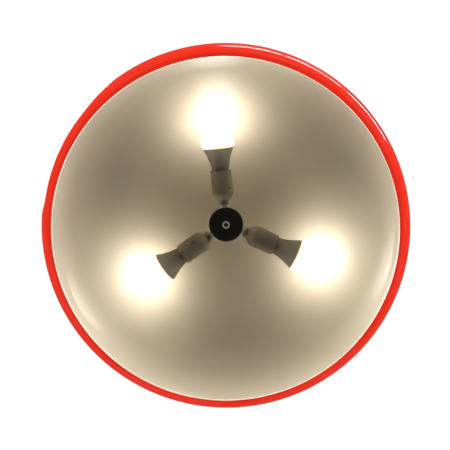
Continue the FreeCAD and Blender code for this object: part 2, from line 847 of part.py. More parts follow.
def hub_point(angle, out, aside, height):
    """A point in the hub from its distance out along an arm's angle, and to that arm's left."""
    flat = FreeCAD.Rotation(Vector(0, 0, 1), angle).multVec(Vector(out, aside, 0))
    return flat + Vector(0, 0, height)


# Each arm has two leads. The way between its nipple and a connector is chosen by hand so that it
# clears the pipe, the clamp nut and the other leads. It is given from the nipple inwards, as
# (angle, out, aside, height).
mid = arm_height.value
HUB_WAYS = {
    (90, 0): [(90, 18.5, 2.6, mid), (90, 9, 9.6, mid + 4.5), (90, -6, 9.4, mid + 6.5)],
    (90, 1): [(90, 19.5, -3.4, mid), (90, 15.5, -10.0, mid + 5.5)],
    (210, 0): [(210, 19.5, 3.4, mid), (210, 15.5, 10.0, mid + 5.5)],
    (210, 1): [(210, 18.5, -2.6, mid), (210, 10, -9.2, mid - 6.5), (210, -5, -10.4, mid - 4.5)],
    (330, 0): [(330, 19.5, 3.4, mid), (330, 15.5, 10.0, mid + 5.5)],
    (330, 1): [(330, 19.5, -3.4, mid), (330, 15.5, -10.0, mid + 5.5)],
}
# Where the three leads of each connector stand round its axis, by the arm they come from.
MOUTH_ANGLES = {0: {90: 135, 210: 255, 330: 15}, 1: {90: 75, 210: 195, 330: 315}}
CONNECTOR_OF_WAY = {(90, 0): 0, (90, 1): 1, (210, 0): 0, (210, 1): 1, (330, 0): 1, (330, 1): 0}
lead_pitch_radius = SIZES["lead_radius"] * 1.25
lead_aside = SIZES["lead_radius"] * 1.2
lead_clear = SIZES["lead_radius"] * 1.6
terminal_x = terminal_offset.value + SIZES["terminal_head_radius"] + SIZES["lead_radius"] + 0.1

leads = []
for angle, roll in zip(ARM_ANGLES, HOLDER_ROLLS):
    for which, sign in ((0, 1), (1, -1)):
        connector_number = CONNECTOR_OF_WAY[angle, which]
        turn = FreeCAD.Rotation(Vector(0, 0, 1), MOUTH_ANGLES[connector_number][angle])
        stand = connector_spots[connector_number] + turn.multVec(Vector(lead_pitch_radius, 0, 0))
        route = [stand + Vector(0, 0, connector_mouth), stand + Vector(0, 0, connector_mouth + 5)]
        for way in reversed(HUB_WAYS[angle, which]):
            route.append(hub_point(*way))
        route.append(hub_point(angle, boss_start.value, sign * lead_aside, mid))
        route.append(hub_point(angle, neck_end.value + lead_clear, sign * lead_aside, mid))
        holder = arm_placement(angle, roll)
        route.append(holder.multVec(Vector(sign * terminal_x, 0, strip_back.value - 3.2)))
        route.append(holder.multVec(Vector(sign * terminal_x, 0, strip_back.value)))
        lead = doc.addObject("Part::Feature", "lead_%d_%d" % (angle, which))
        lead.Shape = lead_solid(route)
        leads.append(lead)
grouped("internal_leads", leads)

# ---------------------------------------------------------------- check and write the sub-parts
PER_ARM = ["holder_cap", "holder_skirt", "screw_shell", "centre_contact", "contact_insert",
           "bulb_tip", "bulb_insulator", "bulb_cap", "bulb_housing",
           "led_board", "driver_board", "bulb_globe"]
NODES = ["shade", "threaded_pipe", "pipe_spacer", "inner_washer", "shade_gasket", "outer_washer",
         "shade_nut", "hub_clamp_nut", "cover_cup", "gland_body", "cord_collet", "gland_cap",
         "hub_body", "hub_cover", "hub_bezel", "hub_nut", "arm_nipples", "arm_lock_nuts",
         "holder_grub_screws", "contact_screws", "side_contacts",
         "lead_connectors", "internal_leads"]
NODES += ["%s_%d" % (name, number) for name in PER_ARM for number in (1, 2, 3)]

doc.recompute()
for item in doc.Objects:
    if "Invalid" in item.State or "Error" in item.State:
        raise RuntimeError("%s did not compute: %s" % (item.Name, item.State))

os.makedirs("parts", exist_ok=True)
for name in NODES:
    piece = doc.getObjectsByLabel(name)[0]
    shape = piece.Shape
    if shape.isNull() or not shape.isValid() or not shape.Solids or shape.Volume <= 0:
        raise RuntimeError("%s has no valid solid" % name)
    shape.exportStep("parts/%s.step" % name)
print("wrote %d sub-parts" % len(NODES))
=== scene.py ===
"""A dome pendant lamp: red shade, white inside, three bulbs on a hub. Metres, +Z up, rim at 0."""
import math

import bmesh
import bpy
from mathutils import Matrix, Vector


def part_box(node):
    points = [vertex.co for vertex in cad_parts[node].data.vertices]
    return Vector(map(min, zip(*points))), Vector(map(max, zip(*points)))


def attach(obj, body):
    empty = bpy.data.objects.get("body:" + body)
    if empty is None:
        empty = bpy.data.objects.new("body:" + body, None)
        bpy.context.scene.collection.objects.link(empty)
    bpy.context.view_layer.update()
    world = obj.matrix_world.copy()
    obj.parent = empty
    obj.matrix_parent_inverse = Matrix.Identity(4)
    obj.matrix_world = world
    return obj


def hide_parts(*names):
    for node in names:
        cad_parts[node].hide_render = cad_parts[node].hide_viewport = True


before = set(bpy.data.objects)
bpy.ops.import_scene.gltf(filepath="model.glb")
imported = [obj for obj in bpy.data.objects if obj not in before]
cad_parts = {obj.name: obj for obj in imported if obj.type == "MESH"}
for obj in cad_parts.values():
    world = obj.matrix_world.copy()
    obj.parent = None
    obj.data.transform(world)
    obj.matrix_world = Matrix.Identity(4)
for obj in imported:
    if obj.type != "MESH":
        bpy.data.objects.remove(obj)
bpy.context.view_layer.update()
MM = 0.001

# ------------------------------------------------------------------ camera
# The lamp hangs with its mouth down and is seen from below, a little off its axis.
CAMERA_DISTANCE = 2.0
CAMERA_TILT = math.radians(9.21)
CAMERA_SIDE = math.radians(104.0)
CAMERA_UP = math.radians(96.0)
aim = Vector((0, 0, 0.040))
back = Vector((math.sin(CAMERA_TILT) * math.cos(CAMERA_SIDE),
               math.sin(CAMERA_TILT) * math.sin(CAMERA_SIDE),
               -math.cos(CAMERA_TILT)))
rough_up = Vector((math.cos(CAMERA_UP), math.sin(CAMERA_UP), 0))
right = (-back).cross(rough_up).normalized()
up = right.cross(-back)
camera_data = bpy.data.cameras.new("camera")
camera_data.lens = 83.95
camera_data.sensor_width = 36.0
camera_data.shift_x = -0.0008
camera_data.shift_y = 0.0098
camera_data.clip_start = 0.05
camera_data.clip_end = 60.0
camera = bpy.data.objects.new("camera", camera_data)
bpy.context.scene.collection.objects.link(camera)
place = aim + back * CAMERA_DISTANCE
camera.matrix_world = Matrix((
    (right.x, up.x, back.x, place.x),
    (right.y, up.y, back.y, place.y),
    (right.z, up.z, back.z, place.z),
    (0, 0, 0, 1)))
bpy.context.scene.camera = camera
bpy.context.scene.view_settings.view_transform = "Standard"

# ------------------------------------------------------------------ studio
# A white surround that gives the lamp only a little warm light, so its own bulbs do the work. Its
# mirror surfaces see a brighter room. A pale floor lies far below and has its own panel.
SURROUND_LIGHT = 0.012
SURROUND_SHINE = 0.09
RING_PANELS = 8
RING_REACH = 2.4
RING_HEIGHT = -0.34
RING_POWER = 30.0
UPPER_PANELS = 4
UPPER_REACH = 2.0
UPPER_HEIGHT = 2.0
UPPER_POWER = 30.0
SHINE_SPOT = (0.058, -0.233, -1.38)
SHINE_COLOUR = (1.0, 0.88, 0.70)
SHINE_POWER = 0.14
STREAK_ANGLES = (104, 128, 152)
STREAK_REACH = 2.6
STREAK_HEIGHT = 1.15
STREAK_POWER = 9.0
FLOOR_DROP = 2.7
FLOOR_HALF = 14.0
FLOOR_POWER = 260.0


def new_node(tree, kind, **inputs):
    """A shader node of that kind; inputs are set by name, with _ for a space."""
    node = tree.nodes.new(kind)
    for name, value in inputs.items():
        node.inputs[name.replace("_", " ")].default_value = value
    return node


world = bpy.data.worlds.new("surround")
bpy.context.scene.world = world
world.use_nodes = True
tree = world.node_tree
tree.nodes.clear()
seen = new_node(tree, "ShaderNodeBackground", Color=(1, 1, 1, 1), Strength=1.0)
lighting = new_node(tree, "ShaderNodeBackground", Color=(1.0, 0.90, 0.74, 1),
                    Strength=SURROUND_LIGHT)
ray = tree.nodes.new("ShaderNodeLightPath")
mix = tree.nodes.new("ShaderNodeMixShader")
output = tree.nodes.new("ShaderNodeOutputWorld")
shine = new_node(tree, "ShaderNodeBackground", Color=(1.0, 0.94, 0.84, 1), Strength=SURROUND_SHINE)
shine_mix = tree.nodes.new("ShaderNodeMixShader")
tree.links.new(ray.outputs["Is Glossy Ray"], shine_mix.inputs[0])
tree.links.new(lighting.outputs[0], shine_mix.inputs[1])
tree.links.new(shine.outputs[0], shine_mix.inputs[2])
tree.links.new(ray.outputs["Is Camera Ray"], mix.inputs[0])
tree.links.new(shine_mix.outputs[0], mix.inputs[1])
tree.links.new(seen.outputs[0], mix.inputs[2])
tree.links.new(mix.outputs[0], output.inputs[0])


def panel_light(name, spot, target, width, height, power, colour=(1, 1, 1), glossy=False):
    """A soft rectangular lamp that shines from spot towards target."""
    data = bpy.data.lights.new(name, "AREA")
    data.shape = "RECTANGLE"
    data.size = width
    data.size_y = height
    data.energy = power
    data.color = colour
    lamp = bpy.data.objects.new(name, data)
    bpy.context.scene.collection.objects.link(lamp)
    lamp.location = spot
    lamp.rotation_euler = (Vector(target) - Vector(spot)).to_track_quat("-Z", "Y").to_euler()
    lamp.visible_camera = False
    lamp.visible_glossy = glossy


def around(turn, reach, height):
    """A place at that angle and distance from the lamp's axis, and at that height."""
    return (reach * math.cos(turn), reach * math.sin(turn), height)


# Low panels in a ring light the outside of the dome evenly and slip in under the rim.
for number in range(RING_PANELS):
    turn = 2 * math.pi * (number + 0.5) / RING_PANELS
    panel_light("ring_%d" % number, around(turn, RING_REACH, RING_HEIGHT), (0, 0, 0.05),
                1.4, 0.5, RING_POWER)
# Panels above light the top of the dome. Only the first shows in the gloss.
for number in range(UPPER_PANELS):
    turn = 2 * math.pi * (number + 0.25) / UPPER_PANELS
    panel_light("upper_%d" % number, around(turn, UPPER_REACH, UPPER_HEIGHT), (0, 0, 0.15),
                1.5, 1.5, UPPER_POWER, glossy=(number == 0))
# A weak panel below is what the lid's disc, ring and nut reflect.
panel_light("lid_shine", SHINE_SPOT, (0, 0, 0.1), 0.5, 0.5, SHINE_POWER, SHINE_COLOUR, True)
# Long narrow panels draw bright streaks along one side of the gloss.
for number, degrees in enumerate(STREAK_ANGLES):
    spot = around(math.radians(degrees), STREAK_REACH, STREAK_HEIGHT)
    panel_light("streak_%d" % number, spot, (0, 0, 0.02), 1.0, 0.05, STREAK_POWER, glossy=True)
panel_light("floor_light", (0, 0, -1.0), (0, 0, -FLOOR_DROP), 5.0, 5.0, FLOOR_POWER)

floor_mesh = bpy.data.meshes.new("floor")
floor_mesh.from_pydata(
    [(-FLOOR_HALF, -FLOOR_HALF, -FLOOR_DROP), (FLOOR_HALF, -FLOOR_HALF, -FLOOR_DROP),
     (FLOOR_HALF, FLOOR_HALF, -FLOOR_DROP), (-FLOOR_HALF, FLOOR_HALF, -FLOOR_DROP)],
    [], [(0, 1, 2, 3)])
floor = bpy.data.objects.new("floor", floor_mesh)
bpy.context.scene.collection.objects.link(floor)
floor_paint = bpy.data.materials.new("floor_paint")
floor_paint.use_nodes = True
floor_shader = floor_paint.node_tree.nodes["Principled BSDF"]
floor_shader.inputs["Base Color"].default_value = (0.82, 0.81, 0.79, 1)
floor_shader.inputs["Roughness"].default_value = 0.8
floor_shader.inputs["Emission Color"].default_value = (0.95, 0.94, 0.92, 1)
floor_shader.inputs["Emission Strength"].default_value = 0.75
floor_mesh.materials.append(floor_paint)
floor.visible_diffuse = False
floor.visible_glossy = False
floor.visible_shadow = False

# ------------------------------------------------------------------ shade
# One dome of two-layer acrylic sheet, red over white, blown to shape and trimmed at the turned-in
# lip. The trimmed edge shows the pale core. A flat seat at the crown carries the fittings.
shade_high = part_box("shade")[1]
SHADE_RADIUS = shade_high.x
SHADE_TOP = shade_high.z
SHADE_WALL = 3.0 * MM
RIM_RADIUS = 325.6 * MM
EQUATOR = 35.0 * MM
SHOULDER = 110.0 * MM
SEAT_RADIUS = 33.0 * MM
PIPE_HOLE = 5.3 * MM
TRIM_CUT = 0.35 * MM
SHARP_ANGLE = math.radians(40)


def arc(centre, radius, start, end, steps):
    """Points on an arc, given as (radius, height), from one angle to the other."""
    points = []
    for step in range(steps + 1):
        turn = start + (end - start) * step / steps
        points.append((centre[0] + radius * math.cos(turn), centre[1] + radius * math.sin(turn)))
    return points


def turned(name, outline, steps=128, matrix=None, zones=None, ripple=None):
    """A mesh turned about Z from an outline of (radius, height) points. zones gives a material
    number for each stretch of the outline, and ripple changes the radius with angle and height."""
    verts = []
    for step in range(steps):
        turn = 2 * math.pi * step / steps
        for radius, height in outline:
            if ripple:
                radius += ripple(turn, radius, height)
            verts.append((radius * math.cos(turn), radius * math.sin(turn), height))
    count = len(outline)
    faces = []
    slots = []
    for step in range(steps):
        here = step * count
        there = (step + 1) % steps * count
        for number in range(count):
            after = (number + 1) % count
            quad = [here + number, there + number, there + after, here + after]
            if outline[number][0] < 1e-7 and outline[after][0] < 1e-7:
                continue
            if outline[number][0] < 1e-7:
                quad = [here + number, there + after, here + after]
            elif outline[after][0] < 1e-7:
                quad = [here + number, there + number, here + after]
            faces.append(quad)
            slots.append(zones[number] if zones else 0)
    mesh = bpy.data.meshes.new(name)
    mesh.from_pydata(verts, [], faces)
    mesh.polygons.foreach_set("material_index", slots)
    return settled(name, mesh, matrix)


def settled(name, mesh, matrix=None):
    """Cleans a mesh, places it, smooths all but its sharp edges and puts it in the scene."""
    work = bmesh.new()
    work.from_mesh(mesh)
    bmesh.ops.remove_doubles(work, verts=work.verts, dist=1e-7)
    bmesh.ops.recalc_face_normals(work, faces=work.faces)
    for face in work.faces:
        face.smooth = True
    for edge in work.edges:
        if len(edge.link_faces) == 2 and edge.calc_face_angle(0) > SHARP_ANGLE:
            edge.smooth = False
    work.to_mesh(mesh)
    work.free()
    if matrix:
        mesh.transform(matrix)
    mesh.update()
    piece = bpy.data.objects.new(name, mesh)
    bpy.context.scene.collection.objects.link(piece)
    return piece


def finish(name, colour, second, blotch=30.0, rough=(0.3, 0.4), grain=400.0, bump=0.02,
           depth=0.0002, **sockets):
    """A material whose colour drifts between two tones, with a gloss and surface that vary."""
    material = bpy.data.materials.new(name)
    material.use_nodes = True
    tree = material.node_tree
    shader = tree.nodes["Principled BSDF"]
    for key, value in sockets.items():
        shader.inputs[key.replace("_", " ")].default_value = value
    where = tree.nodes.new("ShaderNodeTexCoord")
    drift = new_node(tree, "ShaderNodeTexNoise", Scale=blotch, Detail=4.0, Roughness=0.55)
    tones = tree.nodes.new("ShaderNodeValToRGB")
    tones.color_ramp.elements[0].position = 0.35
    tones.color_ramp.elements[0].color = (*colour, 1)
    tones.color_ramp.elements[1].position = 0.70
    tones.color_ramp.elements[1].color = (*second, 1)
    gloss = new_node(tree, "ShaderNodeMapRange", From_Min=0.3, From_Max=0.7, To_Min=rough[0],
                     To_Max=rough[1])
    fine = new_node(tree, "ShaderNodeTexNoise", Scale=grain, Detail=3.0, Roughness=0.6)
    relief = new_node(tree, "ShaderNodeBump", Strength=bump, Distance=depth)
    tree.links.new(where.outputs["Object"], drift.inputs["Vector"])
    tree.links.new(where.outputs["Object"], fine.inputs["Vector"])
    tree.links.new(drift.outputs["Fac"], tones.inputs["Fac"])
    tree.links.new(tones.outputs["Color"], shader.inputs["Base Color"])
    tree.links.new(drift.outputs["Fac"], gloss.inputs["Value"])
    tree.links.new(gloss.outputs["Result"], shader.inputs["Roughness"])
    tree.links.new(fine.outputs["Fac"], relief.inputs["Height"])
    tree.links.new(relief.outputs["Normal"], shader.inputs["Normal"])
    return material


half_chord = SHADE_RADIUS - RIM_RADIUS
lip_radius = (half_chord ** 2 + EQUATOR ** 2) / (2 * half_chord)
lip_centre = (SHADE_RADIUS - lip_radius, EQUATOR)
shoulder_centre = (SHADE_RADIUS - SHOULDER, EQUATOR)
# The crown arc is tangent to the shoulder and passes through the edge of the flat seat.
crown_low = 0.2
crown_high = 2.0
for _ in range(60):
    crown = (crown_low + crown_high) / 2
    drop = math.sqrt((crown - SHOULDER) ** 2 - shoulder_centre[0] ** 2)
    seat_at = EQUATOR - drop + math.sqrt(crown ** 2 - SEAT_RADIUS ** 2)
    if seat_at > SHADE_TOP:
        crown_low = crown
    else:
        crown_high = crown
crown_centre = (0.0, EQUATOR - drop)
tangent = math.atan2(drop, shoulder_centre[0])
lip_start = math.asin(-EQUATOR / lip_radius)
seat_turn = math.acos(SEAT_RADIUS / crown)
seat_turn_inside = math.asin((SHADE_TOP - SHADE_WALL - crown_centre[1]) / (crown - SHADE_WALL))


def shell_side(inset, seat_angle, height):
    """One face of the sheet, from the rim up to the pipe hole."""
    points = arc(lip_centre, lip_radius - inset, lip_start, 0, 18)[:-1]
    points += arc(shoulder_centre, SHOULDER - inset, 0, tangent, 30)[:-1]
    points += arc(crown_centre, crown - inset, tangent, seat_angle, 44)
    points.append((PIPE_HOLE, height))
    return points


outside = shell_side(0.0, seat_turn, SHADE_TOP)
inside = shell_side(SHADE_WALL, seat_turn_inside, SHADE_TOP - SHADE_WALL)
rim_out, rim_in = Vector(outside[0]), Vector(inside[0])
across = (rim_in - rim_out).normalized() * TRIM_CUT
outside[0] = tuple(rim_out + (Vector(outside[1]) - rim_out).normalized() * TRIM_CUT)
inside[0] = tuple(rim_in + (Vector(inside[1]) - rim_in).normalized() * TRIM_CUT)
trim = [tuple(rim_in - across), tuple(rim_out + across)]
outline = outside + inside[::-1] + trim
zones = [0] * (len(outside) - 1) + [1] * len(inside) + [2] * 3
shade = turned("shade_dome", outline, steps=320, zones=zones)

shade_red = finish("shade_red", (0.80, 0.022, 0.006), (0.75, 0.018, 0.005), blotch=6.0,
                   rough=(0.10, 0.16), grain=90.0, bump=0.04, depth=0.0004,
                   Coat_Weight=0.8, Coat_Roughness=0.04)
shade_white = finish("shade_white", (0.60, 0.530, 0.410), (0.57, 0.502, 0.385), blotch=4.0,
                     rough=(0.46, 0.54), grain=70.0, bump=0.03, depth=0.0005,
                     Coat_Weight=0.18, Coat_Roughness=0.02, Specular_IOR_Level=0.30)
shade_core = finish("shade_core", (0.86, 0.80, 0.70), (0.80, 0.74, 0.64), blotch=40.0,
                    rough=(0.25, 0.35), grain=900.0, bump=0.08)
for material in (shade_red, shade_white, shade_core):
    shade.data.materials.append(material)
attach(shade, "root")
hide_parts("shade")

# ------------------------------------------------------------------ threaded pipe
# A hollow steel pipe with a metric thread cut along it, zinc plated. Everything on the lamp's axis
# is strung on it and clamped by nuts, and the leads run up its bore.
pipe_low, pipe_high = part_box("threaded_pipe")
PIPE_RADIUS = pipe_high.x
PIPE_BORE = 4.0 * MM
PIPE_PITCH = 1.0 * MM
PIPE_GROOVE = 0.55 * MM


def pipe_groove(turn, radius, height):
    """How far the thread's groove goes in at this angle and height."""
    if radius < PIPE_BORE * 1.1:
        return 0.0
    phase = (height / PIPE_PITCH - turn / (2 * math.pi)) % 1.0
    return -PIPE_GROOVE * abs(2 * phase - 1)


rows = int((pipe_high.z - pipe_low.z) / PIPE_PITCH * 6)
outline = [(PIPE_BORE, pipe_high.z), (PIPE_BORE, pipe_low.z)]
for row in range(rows + 1):
    outline.append((PIPE_RADIUS, pipe_low.z + (pipe_high.z - pipe_low.z) * row / rows))
pipe = turned("pipe_threaded", outline, steps=36, ripple=pipe_groove)
zinc = finish("zinc_plate", (0.55, 0.55, 0.53), (0.46, 0.46, 0.45), blotch=90.0,
              rough=(0.26, 0.42), grain=1600.0, bump=0.10, depth=0.00008, Metallic=1.0)
pipe.data.materials.append(zinc)
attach(pipe, "root")
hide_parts("threaded_pipe")

# ------------------------------------------------------------------ spacer, washers and nuts
# A bright spacer tube keeps the hub below the crown. A white washer under the crown, and a gasket,
# a steel washer and a nut above it, clamp the shade. A second nut holds the hub.
EDGE_ROUND = 0.5 * MM
NEARLY_STRAIGHT = -0.94


def softened(corners, cut):
    """An outline with each of its corners rounded by a small curve of about that radius."""
    points = []
    count = len(corners)
    for number, corner in enumerate(corners):
        here = Vector(corner)
        before = Vector(corners[number - 1]) - here
        after = Vector(corners[(number + 1) % count]) - here
        if before.length < 1e-7 or after.length < 1e-7 or corner[0] < 1e-6:
            points.append(corner)
            continue
        if before.normalized().dot(after.normalized()) < NEARLY_STRAIGHT:
            points.append(corner)
            continue
        reach = min(cut, before.length * 0.45, after.length * 0.45)
        first = here + before.normalized() * reach
        last = here + after.normalized() * reach
        for step in range(5):
            t = step / 4
            point = first * (1 - t) ** 2 + here * 2 * t * (1 - t) + last * t ** 2
            points.append((point.x, point.y))
    return points


def dress(material, *names):
    """Gives a frame node that stays as it is a better material."""
    for name in names:
        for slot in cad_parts[name].material_slots:
            slot.material = material


bright = finish("bright_plate", (0.80, 0.79, 0.76), (0.74, 0.73, 0.70), blotch=60.0,
                rough=(0.07, 0.13), grain=900.0, bump=0.015, depth=0.00006, Metallic=1.0)
spacer_low, spacer_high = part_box("pipe_spacer")
spacer = turned("spacer_tube", softened([
    (PIPE_HOLE, spacer_low.z), (spacer_high.x, spacer_low.z),
    (spacer_high.x, spacer_high.z), (PIPE_HOLE, spacer_high.z)], EDGE_ROUND), steps=64)
spacer.data.materials.append(bright)
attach(spacer, "root")
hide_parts("pipe_spacer")

enamel = finish("white_enamel", (0.78, 0.765, 0.73), (0.74, 0.725, 0.69), blotch=18.0,
                rough=(0.20, 0.28), grain=500.0, bump=0.04, depth=0.00010, Coat_Weight=0.5)
washer_low, washer_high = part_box("inner_washer")
washer = turned("washer_inner", softened([
    (PIPE_HOLE, washer_low.z), (washer_high.x, washer_low.z),
    (washer_high.x, washer_high.z), (PIPE_HOLE, washer_high.z)], EDGE_ROUND), steps=96)
washer.data.materials.append(enamel)
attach(washer, "root")
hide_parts("inner_washer")

rubber = finish("black_rubber", (0.030, 0.030, 0.031), (0.045, 0.044, 0.043), blotch=70.0,
                rough=(0.62, 0.78), grain=1300.0, bump=0.25, depth=0.00012)
dress(rubber, "shade_gasket", "cord_collet")
dress(zinc, "outer_washer", "shade_nut", "hub_clamp_nut")

# ------------------------------------------------------------------ cover cup
# A spun steel cup in white enamel that stands on the crown and hides the nut. The gland's foot
# holds it down.
cup_low, cup_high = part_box("cover_cup")
CUP_WALL = 1.5 * MM
CUP_TOP_RADIUS = 12.0 * MM
CUP_COLLAR = 4.0 * MM
CUP_ROUND = 1.2 * MM
cup = turned("cup_cover", softened([
    (cup_high.x - CUP_WALL, cup_low.z), (cup_high.x, cup_low.z),
    (cup_high.x, cup_low.z + CUP_COLLAR), (CUP_TOP_RADIUS, cup_high.z),
    (PIPE_HOLE, cup_high.z), (PIPE_HOLE, cup_high.z - CUP_WALL),
    (CUP_TOP_RADIUS - CUP_WALL * 0.6, cup_high.z - CUP_WALL),
    (cup_high.x - CUP_WALL, cup_low.z + CUP_COLLAR - CUP_WALL * 0.6)], CUP_ROUND), steps=160)
cup.data.materials.append(enamel)
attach(cup, "root")
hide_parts("cover_cup")

# ------------------------------------------------------------------ cord gland
# A moulded nylon gland screwed on the pipe's top end: a ribbed foot and a ribbed cap that squeezes
# a rubber collet.
gland_low, gland_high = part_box("gland_body")
cap_low, cap_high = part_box("gland_cap")
GLAND_RADIUS = gland_high.x
GLAND_STEP = 2.0 * MM
GLAND_THREAD = 4.0 * MM
GLAND_FOOT = 0.6 * MM
GLAND_LEAD = 0.7 * MM
GLAND_SLOPE = 0.8 * MM
CAP_ROUND = 0.5 * MM
CAP_MOUTH = 2.4 * MM
CORD_BORE = 3.6 * MM
RIBS = 30
RIB_DEPTH = 0.45 * MM


def ribbed(turn, radius, height):
    """Grip ribs on the widest part only."""
    if radius < GLAND_RADIUS - 0.05 * MM:
        return 0.0
    return -RIB_DEPTH * (0.5 + 0.5 * math.cos(RIBS * turn)) ** 2


nylon = finish("gland_nylon", (0.74, 0.735, 0.70), (0.69, 0.68, 0.645), blotch=45.0,
               rough=(0.34, 0.46), grain=900.0, bump=0.10, depth=0.00010)
gland = turned("gland_foot", [
    (PIPE_RADIUS, gland_low.z), (GLAND_RADIUS - GLAND_FOOT, gland_low.z),
    (GLAND_RADIUS, gland_low.z + GLAND_FOOT),
    (GLAND_RADIUS, gland_high.z - GLAND_THREAD - GLAND_SLOPE),
    (GLAND_RADIUS - GLAND_LEAD, gland_high.z - GLAND_THREAD),
    (GLAND_RADIUS - GLAND_STEP, gland_high.z - GLAND_THREAD),
    (GLAND_RADIUS - GLAND_STEP, gland_high.z), (PIPE_RADIUS, gland_high.z)],
    steps=240, ripple=ribbed)
cap_shoulder = gland_high.z
dome = []
for step in range(13):
    t = step / 12
    dome.append((GLAND_RADIUS - CAP_ROUND - (GLAND_RADIUS - CORD_BORE - CAP_MOUTH) * t ** 1.8,
                 cap_shoulder + GLAND_FOOT + (cap_high.z - cap_shoulder - GLAND_FOOT) * t))
gland_cap = turned("gland_cap_ribbed", [
    (GLAND_RADIUS - GLAND_STEP, cap_low.z), (GLAND_RADIUS - GLAND_LEAD, cap_low.z),
    (GLAND_RADIUS, cap_low.z + GLAND_SLOPE), (GLAND_RADIUS, cap_shoulder)] + dome + [
    (CORD_BORE, cap_high.z), (CORD_BORE, cap_shoulder),
    (GLAND_RADIUS - GLAND_STEP, cap_shoulder)], steps=240, ripple=ribbed)
for piece, node in ((gland, "gland_body"), (gland_cap, "gland_cap")):
    piece.data.materials.append(nylon)
    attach(piece, "root")
    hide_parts(node)

# ------------------------------------------------------------------ hub
# A bright plated casting, open below, with three threaded bosses. Nipples and their lock nuts screw
# into the bosses, and two crimp connectors and six leads lie inside.
dress(bright, "hub_body")
dress(zinc, "arm_nipples", "arm_lock_nuts", "holder_grub_screws")
crimp = finish("crimp_nylon", (0.72, 0.70, 0.62), (0.66, 0.64, 0.56), blotch=120.0,
               rough=(0.30, 0.42), grain=1500.0, bump=0.06, depth=0.00006)
dress(crimp, "lead_connectors")
silicone = finish("lead_sleeve", (0.30, 0.14, 0.060), (0.25, 0.115, 0.050), blotch=150.0,
                  rough=(0.42, 0.55), grain=1800.0, bump=0.06, depth=0.00005)
dress(silicone, "internal_leads")

# ------------------------------------------------------------------ hub lid
# A mirror-gloss black disc in a bright ring closes the hub from below, held by a hexagon nut on the
# pipe. The three come off together, downwards.
disc_low, disc_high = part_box("hub_cover")
ring_low, ring_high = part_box("hub_bezel")
DISC_EDGE = 0.6 * MM
RING_EDGE = 0.7 * MM
disc = turned("lid_disc", softened([
    (PIPE_HOLE, disc_low.z), (disc_high.x, disc_low.z),
    (disc_high.x, disc_high.z), (PIPE_HOLE, disc_high.z)], DISC_EDGE), steps=192)
gloss_black = finish("gloss_black", (0.0035, 0.0033, 0.0032), (0.0050, 0.0047, 0.0045),
                     blotch=25.0, rough=(0.035, 0.07), grain=240.0, bump=0.010, depth=0.00010,
                     Specular_IOR_Level=0.30)
disc.data.materials.append(gloss_black)
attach(disc, "hub_lid")
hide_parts("hub_cover")

ring = turned("lid_ring", softened([
    (disc_high.x, ring_low.z), (ring_high.x, ring_low.z),
    (ring_high.x, ring_high.z), (disc_high.x, ring_high.z)], RING_EDGE), steps=192)
ring.data.materials.append(bright)
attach(ring, "hub_lid")
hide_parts("hub_bezel")
dress(bright, "hub_nut")

# ------------------------------------------------------------------ lampholders
# Each is moulded white thermoset in two halves screwed together, a round rear cap and a skirt with
# a small latch recess. Inside are a steatite insert, brass contacts and the threaded shell.
# The holders' cream white is darkened here, partly their own tone and partly painted shade under
# the dome.
moulded = finish("holder_moulded", (0.44, 0.395, 0.290), (0.40, 0.360, 0.262), blotch=26.0,
                 rough=(0.40, 0.52), grain=620.0, bump=0.10, depth=0.00010)
steatite = finish("insert_steatite", (0.72, 0.69, 0.62), (0.66, 0.63, 0.56), blotch=60.0,
                  rough=(0.55, 0.70), grain=1400.0, bump=0.20, depth=0.00010)
brass = finish("rolled_brass", (0.66, 0.46, 0.19), (0.56, 0.38, 0.15), blotch=110.0,
               rough=(0.22, 0.36), grain=1500.0, bump=0.08, depth=0.00006, Metallic=1.0)
ARMS = (1, 2, 3)
for number in ARMS:
    dress(moulded, "holder_cap_%d" % number, "holder_skirt_%d" % number)
    dress(steatite, "contact_insert_%d" % number)
    dress(brass, "screw_shell_%d" % number, "centre_contact_%d" % number)
dress(brass, "contact_screws", "side_contacts")

# ------------------------------------------------------------------ latch slots
# Each skirt has an L-shaped slot where its locking tab is pressed. A thin dark plate at the bottom
# of the slot, with its corners eased, paints the shade inside the recess.
ARM_ANGLES = (90, 210, 330)
HOLDER_ROLLS = (34, 60, 22)
LATCH_DEPTH = 1.0 * MM
LATCH_LENGTH = 7.5 * MM
LATCH_REACH = 7.0 * MM
LATCH_WIDTH = 1.4 * MM
LATCH_FROM_CAP = 4.0 * MM
LATCH_CORNER = 0.3 * MM
SLOT_GAP = 0.02 * MM
PLATE_TOP = 0.45 * MM
SKIRT_STEP = 0.2 * MM
arm_height = (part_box("holder_skirt_1")[0].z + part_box("holder_skirt_1")[1].z) / 2
latch_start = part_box("holder_skirt_1")[0].y + LATCH_FROM_CAP
latch_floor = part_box("holder_cap_1")[1].x - SKIRT_STEP - LATCH_DEPTH


def arm_matrix(number, roll=0):
    """Lays a piece's Z along that arm and turns it about the arm by roll degrees."""
    lay = Matrix.Rotation(math.radians(ARM_ANGLES[number - 1]), 4, "Z")
    spin = Matrix.Rotation(math.radians(roll), 4, "Z")
    level = Matrix.Translation((0, 0, arm_height))
    return level @ lay @ Matrix.Rotation(math.radians(90), 4, "Y") @ spin


def plate(name, outline, low, high, matrix):
    """A flat plate with that (y, z) outline, from low to high along X."""
    count = len(outline)
    verts = [(low, y, z) for y, z in outline] + [(high, y, z) for y, z in outline]
    faces = [tuple(range(count)), tuple(range(2 * count - 1, count - 1, -1))]
    for step in range(count):
        after = (step + 1) % count
        faces.append((step, step + count, after + count, after))
    mesh = bpy.data.meshes.new(name)
    mesh.from_pydata(verts, [], faces)
    return settled(name, mesh, matrix)


